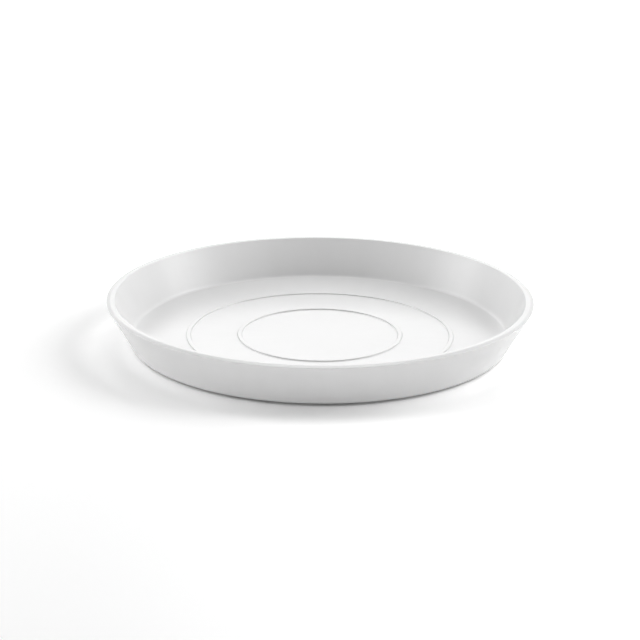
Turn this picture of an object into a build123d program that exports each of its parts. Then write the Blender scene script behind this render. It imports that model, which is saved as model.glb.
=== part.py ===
from build123d import *
from math import asin, atan2, hypot, tan
import os

# A round plant saucer, moulded in one shot from white polypropylene: a slightly dished floor with
# two low ribs on it for the pot to stand on, a margin that rises a little from the outer rib to the
# wall, a wall that leans outwards and thickens up to a lip whose top falls off a little to its outer
# edge, and a foot ring under the floor that lifts the edge off the ground.
# Lengths are in millimetres. The axis of the saucer is Z, and the foot ring stands on Z = 0.

# Rim and wall
rim_diameter = 300.0
overall_height = 33.1
lip_width = 5.6
lip_slope_width = 2.4
lip_drop = 1.0
lip_crown_radius = 4.0
lip_edge_radius = 0.4
lip_inner_radius = 0.8
wall_thickness = 2.2

# Base and floor
base_diameter = 265.4
base_edge_radius = 1.2
floor_thickness = 2.1
middle_dip = 0.3
margin_rise = 1.4
corner_radius = 3.0

# The two pot ribs on the floor
outer_rib_inset = 39.7
rib_spacing = 36.2
rib_root_width = 3.4
rib_top_width = 2.6
rib_height = 0.9
rib_edge_radius = 0.3

# The foot ring under the floor
foot_inset = 12.0
foot_root_width = 4.2
foot_face_width = 3.2
foot_height = 1.6
foot_edge_radius = 0.3

# The mark that the moulding gate leaves, in a shallow recess in the middle of the underside
gate_recess_diameter = 16.0
gate_recess_depth = 0.6
gate_diameter = 3.0
gate_height = 0.35

# Heights that follow from the sizes above: the floor inside the inner rib, at the outer rib and at
# the wall
underside = foot_height
floor_middle = underside + floor_thickness
floor_ring = floor_middle + middle_dip
floor_edge = floor_ring + margin_rise
gate_ceiling = underside + gate_recess_depth

# The lip's top is flat and then slopes down to the rim. The outer face of the wall is a straight line
# from the base edge. Both touch the rounding of the lip's edge, whose outermost point is on the rim,
# so the wall's lean comes from the way to the rounding's centre and the half angle of the touching line
rim_radius = rim_diameter / 2
base_radius = base_diameter / 2
lip_crown_corner = rim_radius - lip_slope_width
lip_fall = lip_drop / lip_slope_width
edge_run = lip_slope_width - lip_edge_radius
edge_centre = overall_height - lip_fall * edge_run - lip_edge_radius * hypot(1, lip_fall)
run_to_lip = rim_radius - lip_edge_radius - base_radius
rise_to_lip = edge_centre - underside
touch_angle = asin(lip_edge_radius / hypot(run_to_lip, rise_to_lip))
wall_lean = tan(atan2(run_to_lip, rise_to_lip) + touch_angle)

# The lip's sharp outer corner, where the wall's line meets the slope's line
slope_rise = overall_height - underside + lip_fall * lip_crown_corner
lip_outer_corner = (base_radius + wall_lean * slope_rise) / (1 + wall_lean * lip_fall)
lip_edge_height = overall_height - lip_fall * (lip_outer_corner - lip_crown_corner)

# The inner face runs from the lip to one wall thickness inside the outer face, at the floor's edge
lip_inner_corner = rim_radius - lip_width
floor_radius = base_radius + wall_lean * (floor_edge - underside) - wall_thickness
outer_rib_radius = floor_radius - outer_rib_inset
inner_rib_radius = outer_rib_radius - rib_spacing
foot_radius = base_radius - foot_inset


def ridge(middle, root_z, crest_z, root_width, crest_width, edge_radius):
    """Corners of a low ridge from its outer side to its inner side, each with its rounding radius."""
    return [
        ((middle + root_width / 2, root_z), edge_radius),
        ((middle + crest_width / 2, crest_z), edge_radius),
        ((middle - crest_width / 2, crest_z), edge_radius),
        ((middle - root_width / 2, root_z), edge_radius),
    ]


def rib(middle, root_z):
    """One pot rib, standing up from the floor."""
    return ridge(middle, root_z, root_z + rib_height, rib_root_width, rib_top_width, rib_edge_radius)


def foot():
    """The foot ring, hanging from the underside, listed from its inner side to its outer side."""
    return ridge(foot_radius, underside, 0, foot_root_width, foot_face_width, foot_edge_radius)[::-1]


def gate_mark():
    """The gate's broken stub and the recess around it, from the axis outwards."""
    stub = gate_ceiling - gate_height
    return [
        ((0, stub), 0),
        ((gate_diameter / 2, stub), 0),
        ((gate_diameter / 2, gate_ceiling), 0),
        ((gate_recess_diameter / 2, gate_ceiling), 0),
        ((gate_recess_diameter / 2, underside), 0),
    ]


def section_corners():
    """The half section: along the underside, up the wall, over the lip and back along the floor."""
    wall_and_lip = [
        ((base_radius, underside), base_edge_radius),
        ((lip_outer_corner, lip_edge_height), lip_edge_radius),
        ((lip_crown_corner, overall_height), lip_crown_radius),
        ((lip_inner_corner, overall_height), lip_inner_radius),
        ((floor_radius, floor_edge), corner_radius),
    ]
    ribs = rib(outer_rib_radius, floor_ring) + rib(inner_rib_radius, floor_middle)
    return gate_mark() + foot() + wall_and_lip + ribs + [((0, floor_middle), 0)]


def saucer():
    """The half section turned once about the axis."""
    corners = section_corners()
    points = [Plane.XZ.from_local_coords((r, z)) for (r, z), _ in corners]
    radii = [radius for _, radius in corners]
    outline = FilletPolyline(*points, radius=radii, close=True)
    return revolve(make_face(outline.edges()), axis=Axis.Z)


os.makedirs("parts", exist_ok=True)
export_step(saucer(), "parts/saucer.step")
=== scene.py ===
import math

import bpy
import numpy as np
from mathutils import Matrix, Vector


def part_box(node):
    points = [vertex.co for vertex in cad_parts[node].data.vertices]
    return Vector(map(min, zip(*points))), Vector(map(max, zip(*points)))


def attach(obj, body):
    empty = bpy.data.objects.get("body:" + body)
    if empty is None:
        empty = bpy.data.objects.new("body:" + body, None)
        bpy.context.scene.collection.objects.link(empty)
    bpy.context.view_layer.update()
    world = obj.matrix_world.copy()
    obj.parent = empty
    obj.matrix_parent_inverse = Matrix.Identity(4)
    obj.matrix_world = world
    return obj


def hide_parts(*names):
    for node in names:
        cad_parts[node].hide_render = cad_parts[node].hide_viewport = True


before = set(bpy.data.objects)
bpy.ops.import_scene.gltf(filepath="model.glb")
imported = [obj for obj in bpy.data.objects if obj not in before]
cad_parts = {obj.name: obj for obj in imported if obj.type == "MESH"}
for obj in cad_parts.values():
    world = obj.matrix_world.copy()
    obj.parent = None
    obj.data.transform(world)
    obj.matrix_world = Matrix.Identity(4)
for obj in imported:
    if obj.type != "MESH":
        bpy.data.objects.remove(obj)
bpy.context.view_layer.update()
scene = bpy.context.scene

# The saucer.
# One injection moulding in satin white polypropylene: a floor with two low pot ribs, a leaning wall that
# thickens up to a lip with a sloping edge, and a foot ring and gate mark below. Sizes in metres.
saucer_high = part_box("saucer")[1]
rim_radius = saucer_high.x
overall_height = saucer_high.z
lip_width = 0.0056
lip_slope_width = 0.0024
lip_drop = 0.0010
lip_crown_rounding = 0.0040
lip_edge_rounding = 0.0004
lip_inner_rounding = 0.0008
wall_thickness = 0.0022
base_radius = 0.1327
base_edge_rounding = 0.0012
floor_thickness = 0.0021
middle_dip = 0.0003
margin_rise = 0.0014
corner_rounding = 0.0030
outer_rib_inset = 0.0397
rib_spacing = 0.0362
rib_root_width = 0.0034
rib_top_width = 0.0026
rib_height = 0.0009
rib_rounding = 0.0003
foot_inset = 0.012
foot_root_width = 0.0042
foot_face_width = 0.0032
foot_height = 0.0016
foot_rounding = 0.0003
gate_recess_radius = 0.008
gate_recess_depth = 0.0006
gate_radius = 0.0015
gate_height = 0.00035
gate_rounding = 0.0001

floor_middle = foot_height + floor_thickness
floor_ring = floor_middle + middle_dip
floor_edge = floor_ring + margin_rise
gate_ceiling = foot_height + gate_recess_depth
lip_crown_corner = rim_radius - lip_slope_width
lip_fall = lip_drop / lip_slope_width
edge_run = lip_slope_width - lip_edge_rounding
edge_centre = overall_height - lip_fall * edge_run - lip_edge_rounding * math.hypot(1, lip_fall)
run_to_lip = rim_radius - lip_edge_rounding - base_radius
rise_to_lip = edge_centre - foot_height
touch_angle = math.asin(lip_edge_rounding / math.hypot(run_to_lip, rise_to_lip))
wall_lean = math.tan(math.atan2(run_to_lip, rise_to_lip) + touch_angle)
slope_rise = overall_height - foot_height + lip_fall * lip_crown_corner
lip_outer_corner = (base_radius + wall_lean * slope_rise) / (1 + wall_lean * lip_fall)
lip_edge_height = overall_height - lip_fall * (lip_outer_corner - lip_crown_corner)
lip_inner_corner = rim_radius - lip_width
floor_radius = base_radius + wall_lean * (floor_edge - foot_height) - wall_thickness
outer_rib_radius = floor_radius - outer_rib_inset
inner_rib_radius = outer_rib_radius - rib_spacing
foot_radius = base_radius - foot_inset


def ridge(middle, root_height, crest_height, root_width, crest_width, rounding):
    """A low ridge in the section, from its outer to its inner side: rows of radius, height, rounding."""
    return [
        (middle + root_width / 2, root_height, rounding),
        (middle + crest_width / 2, crest_height, rounding),
        (middle - crest_width / 2, crest_height, rounding),
        (middle - root_width / 2, root_height, rounding),
    ]


def rib(middle, root_height):
    """One pot rib, standing up from the floor."""
    return ridge(middle, root_height, root_height + rib_height, rib_root_width, rib_top_width, rib_rounding)


def section_corners():
    """Corners of the half section: along the underside, up the wall, over the lip, back along the floor."""
    stub = gate_ceiling - gate_height
    gate = [
        (0, stub, 0),
        (gate_radius, stub, gate_rounding),
        (gate_radius, gate_ceiling, gate_rounding),
        (gate_recess_radius, gate_ceiling, gate_rounding),
        (gate_recess_radius, foot_height, gate_rounding),
    ]
    foot = ridge(foot_radius, foot_height, 0, foot_root_width, foot_face_width, foot_rounding)[::-1]
    wall = [
        (base_radius, foot_height, base_edge_rounding),
        (lip_outer_corner, lip_edge_height, lip_edge_rounding),
        (lip_crown_corner, overall_height, lip_crown_rounding),
        (lip_inner_corner, overall_height, lip_inner_rounding),
        (floor_radius, floor_edge, corner_rounding),
    ]
    ribs = rib(outer_rib_radius, floor_ring) + rib(inner_rib_radius, floor_middle)
    return np.array(gate + foot + wall + ribs + [(0, floor_middle, 0)])


def rounded_section(corners, arc_steps, run_shares):
    """Rounds every corner but the two ends, which lie on the axis.

    An arc of radius R touches both runs at R / tan(half the corner's angle) from the corner, and its centre
    lies on the corner's bisector at R / sin(half angle). Its points turn evenly from one touching point to
    the other. Each straight run between two arcs gets points at the given shares of its length.
    """
    place, rounding = corners[:, :2], corners[1:-1, 2:]
    back = place[:-2] - place[1:-1]
    ahead = place[2:] - place[1:-1]
    back /= np.linalg.norm(back, axis=1, keepdims=True)
    ahead /= np.linalg.norm(ahead, axis=1, keepdims=True)
    half = np.arccos(np.sum(back * ahead, axis=1, keepdims=True)) / 2
    bisector = (back + ahead) / np.linalg.norm(back + ahead, axis=1, keepdims=True)
    centre = place[1:-1] + bisector * rounding / np.sin(half)
    first = place[1:-1] + back * rounding / np.tan(half) - centre
    last = place[1:-1] + ahead * rounding / np.tan(half) - centre
    turn = (math.pi - 2 * half)[:, None]
    share = np.linspace(0, 1, arc_steps + 1)[None, :, None]
    arcs = np.sin((1 - share) * turn) * first[:, None] + np.sin(share * turn) * last[:, None]
    arcs = centre[:, None] + arcs / np.sin(turn)
    run_from = np.vstack([place[:1], arcs[:, -1]])[:, None]
    run_to = np.vstack([arcs[:, 0], place[-1:]])[:, None]
    runs = run_from + (run_to - run_from) * np.array(run_shares)[None, :, None]
    after_first_run = np.concatenate([arcs, runs[1:]], axis=1).reshape(-1, 2)
    return np.vstack([place[:1], runs[0], after_first_run, place[-1:]])


def turned_mesh(name, section, sides):
    """Turns a section about Z.

    For each angle a, (radius, height) goes to (radius cos a, radius sin a, height). The two ends of the
    section are on the axis and become one vertex each, closed with a fan of triangles.
    """
    angle = np.linspace(0, 2 * math.pi, sides, endpoint=False)
    radius, height = section[1:-1, 0, None], section[1:-1, 1, None]
    rings = np.stack([radius * np.cos(angle), radius * np.sin(angle), height + 0 * angle], axis=-1)
    poles = np.array([[0, 0, section[0, 1]], [0, 0, section[-1, 1]]])
    count = len(section) - 2
    index = np.arange(count * sides).reshape(count, sides)
    beside = np.roll(index, -1, axis=1)
    quads = np.stack([index[:-1], beside[:-1], beside[1:], index[1:]], axis=-1).reshape(-1, 4)
    low_pole, high_pole = count * sides, count * sides + 1
    low_fan = np.stack([np.full(sides, low_pole), beside[0], index[0]], axis=-1)
    high_fan = np.stack([index[-1], beside[-1], np.full(sides, high_pole)], axis=-1)
    mesh = bpy.data.meshes.new(name)
    vertices = np.vstack([rings.reshape(-1, 3), poles])
    mesh.from_pydata(vertices.tolist(), [], quads.tolist() + low_fan.tolist() + high_fan.tolist())
    mesh.shade_smooth()
    return mesh


saucer_section = rounded_section(section_corners(), arc_steps=8, run_shares=(0.02, 0.3, 0.7, 0.98))
saucer = bpy.data.objects.new("saucer_moulding", turned_mesh("saucer_moulding", saucer_section, sides=360))
scene.collection.objects.link(saucer)


def white_polypropylene():
    """Satin white polypropylene, as moulded.

    The melt ran out from the gate in the middle, so the white has faint streaks along the radius: a noise
    read at (x / r, y / r) times a count, and at r times a small rate, is stretched along r. Near the gate
    it fades to its middle value. The gloss has faint clouds, and the moulded grain is a fine bump. The foot
    ring's face, where the height is next to nothing, is scuffed dull and a little grey.
    """
    streak_count = 9.0
    streak_rate = 22.0
    streak_middle = 0.5
    gate_calm_radius = 0.06
    cloud_scale = 16.0
    grain_scale = 1500.0
    grain_height = 0.000004
    scuff_scale = 420.0
    scuff_height = 0.0004
    scuff_limits = (0.35, 0.65)
    noise_limits = (0.3, 0.7)
    streak_whites = (0.855, 0.865)
    cloud_roughness = (0.225, 0.265)
    scuffed_white = 0.70
    scuffed_roughness = 0.48

    material = bpy.data.materials.new("white_polypropylene")
    material.use_nodes = True
    nodes, links = material.node_tree.nodes, material.node_tree.links
    shader = nodes["Principled BSDF"]
    shader.inputs["IOR"].default_value = 1.49
    place = nodes.new("ShaderNodeTexCoord").outputs["Object"]

    def vector_math(operation, first, second=None):
        """One vector operation on a socket and, where given, a fixed vector."""
        node = nodes.new("ShaderNodeVectorMath")
        node.operation = operation
        links.new(first, node.inputs[0])
        if second is not None:
            node.inputs[1].default_value = second
        return node

    def noise(vector, scale, detail):
        """A smooth noise from 0 to 1."""
        node = nodes.new("ShaderNodeTexNoise")
        node.inputs["Scale"].default_value = scale
        node.inputs["Detail"].default_value = detail
        links.new(vector, node.inputs["Vector"])
        return node.outputs["Fac"]

    def ramp(value, start, stop, low, high):
        """Maps a value from the range start to stop onto low to high, with smooth ends."""
        node = nodes.new("ShaderNodeMapRange")
        node.interpolation_type = "SMOOTHSTEP"
        for name, number in zip(("From Min", "From Max", "To Min", "To Max"), (start, stop, low, high)):
            node.inputs[name].default_value = number
        links.new(value, node.inputs["Value"])
        return node.outputs["Result"]

    def mix(factor, first, second):
        """The way from a socket to a fixed value, by a factor."""
        node = nodes.new("ShaderNodeMix")
        node.data_type = "FLOAT"
        links.new(factor, node.inputs["Factor"])
        links.new(first, node.inputs["A"])
        node.inputs["B"].default_value = second
        return node.outputs["Result"]

    def product(first, second):
        """Two values multiplied."""
        node = nodes.new("ShaderNodeMath")
        node.operation = "MULTIPLY"
        links.new(first, node.inputs[0])
        links.new(second, node.inputs[1])
        return node.outputs["Value"]

    flat = vector_math("MULTIPLY", place, (1, 1, 0)).outputs["Vector"]
    around = vector_math("NORMALIZE", flat).outputs["Vector"]
    turned = vector_math("MULTIPLY", around, (streak_count, streak_count, 0)).outputs["Vector"]
    outward = nodes.new("ShaderNodeCombineXYZ")
    distance = vector_math("LENGTH", flat).outputs["Value"]
    links.new(distance, outward.inputs["Z"])
    stretched = vector_math("MULTIPLY", outward.outputs["Vector"], (0, 0, streak_rate)).outputs["Vector"]
    along_flow = nodes.new("ShaderNodeVectorMath")
    along_flow.operation = "ADD"
    links.new(turned, along_flow.inputs[0])
    links.new(stretched, along_flow.inputs[1])
    calm = ramp(distance, 0, gate_calm_radius, 1, 0)
    streaks = mix(calm, noise(along_flow.outputs["Vector"], scale=1.0, detail=3.0), streak_middle)
    clouds = noise(place, cloud_scale, detail=2.0)

    height = nodes.new("ShaderNodeSeparateXYZ")
    links.new(place, height.inputs["Vector"])
    near_ground = ramp(height.outputs["Z"], 0, scuff_height, 1, 0)
    scuffs = product(near_ground, ramp(noise(place, scuff_scale, detail=4.0), *scuff_limits, 0, 1))

    white = mix(scuffs, ramp(streaks, *noise_limits, *streak_whites), scuffed_white)
    links.new(white, shader.inputs["Base Color"])
    roughness = mix(scuffs, ramp(clouds, *noise_limits, *cloud_roughness), scuffed_roughness)
    links.new(roughness, shader.inputs["Roughness"])
    grain = nodes.new("ShaderNodeBump")
    grain.inputs["Distance"].default_value = grain_height
    links.new(noise(place, grain_scale, detail=2.0), grain.inputs["Height"])
    links.new(grain.outputs["Normal"], shader.inputs["Normal"])
    return material


saucer.data.materials.append(white_polypropylene())
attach(saucer, "root")
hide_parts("saucer")

# The floor under the saucer.
# Flat white matt studio paper, far larger than the view. It is lit as white paper and keeps the saucer's
# soft shadow, and the camera sees it about a third to a half brighter, as a background lit up to white. The
# rise from a third brighter at the left to a half at the right is painted light, which fades the saucer's
# shadow on the right.
stage_half_width = 6.0
paper_white = 0.95
# Painted light: the seen white at the right is set brighter than at the left.
seen_white_left = 1.22
painted_brighter_seen_white_right = 1.45
painted_light_gradient_half_width = 0.15


def seen_directly(nodes, links):
    """A mask: 1 for camera, glossy and transmission rays, and 0 for the rays that light the object."""
    path = nodes.new("ShaderNodeLightPath")
    either = nodes.new("ShaderNodeMath")
    either.operation = "ADD"
    either.use_clamp = True
    links.new(path.outputs["Is Camera Ray"], either.inputs[0])
    links.new(path.outputs["Is Glossy Ray"], either.inputs[1])
    mask = nodes.new("ShaderNodeMath")
    mask.operation = "ADD"
    mask.use_clamp = True
    links.new(either.outputs["Value"], mask.inputs[0])
    links.new(path.outputs["Is Transmission Ray"], mask.inputs[1])
    return mask.outputs["Value"]


def paper_with_painted_gradient():
    """Matt white paper whose seen brightness rises from left to right across the saucer's width: a painted
    light gradient that fades the saucer's shadow on the right.
    """
    material = bpy.data.materials.new("paper_with_painted_gradient")
    material.use_nodes = True
    nodes, links = material.node_tree.nodes, material.node_tree.links
    nodes.remove(nodes["Principled BSDF"])
    paper = nodes.new("ShaderNodeBsdfDiffuse")
    place = nodes.new("ShaderNodeTexCoord")
    across = nodes.new("ShaderNodeSeparateXYZ")
    links.new(place.outputs["Object"], across.inputs["Vector"])
    # Painted light: the seen white grows from left to right, so the saucer's shadow fades on the right.
    seen = nodes.new("ShaderNodeMapRange")
    seen.interpolation_type = "SMOOTHSTEP"
    seen.inputs["From Min"].default_value = -painted_light_gradient_half_width
    seen.inputs["From Max"].default_value = painted_light_gradient_half_width
    seen.inputs["To Min"].default_value = seen_white_left
    seen.inputs["To Max"].default_value = painted_brighter_seen_white_right
    links.new(across.outputs["X"], seen.inputs["Value"])
    white = nodes.new("ShaderNodeMix")
    white.data_type = "FLOAT"
    white.inputs["A"].default_value = paper_white
    links.new(seen_directly(nodes, links), white.inputs["Factor"])
    links.new(seen.outputs["Result"], white.inputs["B"])
    links.new(white.outputs["Result"], paper.inputs["Color"])
    links.new(paper.outputs["BSDF"], nodes["Material Output"].inputs["Surface"])
    return material


stage_mesh = bpy.data.meshes.new("studio_floor")
corner = stage_half_width * np.array([(-1, -1, 0), (1, -1, 0), (1, 1, 0), (-1, 1, 0)])
stage_mesh.from_pydata(corner.tolist(), [], [(0, 1, 2, 3)])
stage_mesh.materials.append(paper_with_painted_gradient())
stage = bpy.data.objects.new("studio_floor", stage_mesh)
scene.collection.objects.link(stage)

# The studio room.
# White all round where it is seen or mirrored, and a dim grey where it lights the saucer.
room_lit_grey = 0.03
room_seen_white = 1.0
world = bpy.data.worlds.new("studio_room")
scene.world = world
world.use_nodes = True
room_nodes, room_links = world.node_tree.nodes, world.node_tree.links
room = room_nodes["Background"]
room.inputs["Color"].default_value = (1, 1, 1, 1)
room_white = room_nodes.new("ShaderNodeMix")
room_white.data_type = "FLOAT"
room_white.inputs["A"].default_value = room_lit_grey
room_white.inputs["B"].default_value = room_seen_white
room_links.new(seen_directly(room_nodes, room_links), room_white.inputs["Factor"])
room_links.new(room_white.outputs["Result"], room.inputs["Strength"])

# The studio lamps.
# Soft boxes at the left and right, one behind and one overhead, and low lit cards at the sides and front.
lamp_distance = 3.0


def softbox(name, azimuth, elevation, wide, tall, brightness):
    """An oval lamp that faces the saucer's centre, with its two angular widths in degrees.

    Azimuth turns from the camera's side to the right. A lamp of area A and radiance L has the power pi A L.
    """
    lamp = bpy.data.lights.new(name, "AREA")
    lamp.shape = "ELLIPSE"
    lamp.size = 2 * lamp_distance * math.tan(math.radians(wide / 2))
    lamp.size_y = 2 * lamp_distance * math.tan(math.radians(tall / 2))
    lamp.energy = math.pi * brightness * math.pi / 4 * lamp.size * lamp.size_y
    box = bpy.data.objects.new(name, lamp)
    turn = Matrix.Rotation(math.radians(azimuth), 4, "Z")
    tilt = Matrix.Rotation(math.radians(90 - elevation), 4, "X")
    box.matrix_world = turn @ tilt @ Matrix.Translation((0, 0, lamp_distance))
    scene.collection.objects.link(box)


softbox("right_softbox", azimuth=106, elevation=36, wide=42, tall=34, brightness=4.6)
softbox("left_softbox", azimuth=254, elevation=36, wide=42, tall=34, brightness=3.7)
softbox("right_card", azimuth=86, elevation=12, wide=44, tall=20, brightness=2.2)
softbox("left_card", azimuth=274, elevation=12, wide=44, tall=20, brightness=2.2)
softbox("back_softbox", azimuth=180, elevation=30, wide=50, tall=26, brightness=1.5)
softbox("overhead_softbox", azimuth=180, elevation=72, wide=34, tall=34, brightness=2.3)
softbox("front_card", azimuth=0, elevation=5, wide=60, tall=10, brightness=4.6)

# The camera.
# It looks along +Y and down at the saucer from about 1.4 m, with a long lens, as in the photograph. Its
# angles are in radians, and its focal length is in pixels of the photograph's width.
camera_pitch = 0.32373
camera_roll = 0.00783
camera_place = (0, -1.3356, 0.4624)
image_width = 640
focal_pixels = 1989.4
camera_data = bpy.data.cameras.new("camera")
camera_data.sensor_width = 36
camera_data.lens = focal_pixels / image_width * camera_data.sensor_width
camera = bpy.data.objects.new("camera", camera_data)
look = Matrix.Rotation(math.pi / 2 - camera_pitch, 4, "X") @ Matrix.Rotation(camera_roll, 4, "Z")
camera.matrix_world = Matrix.Translation(camera_place) @ look
scene.collection.objects.link(camera)
scene.camera = camera
scene.view_settings.view_transform = "Standard"
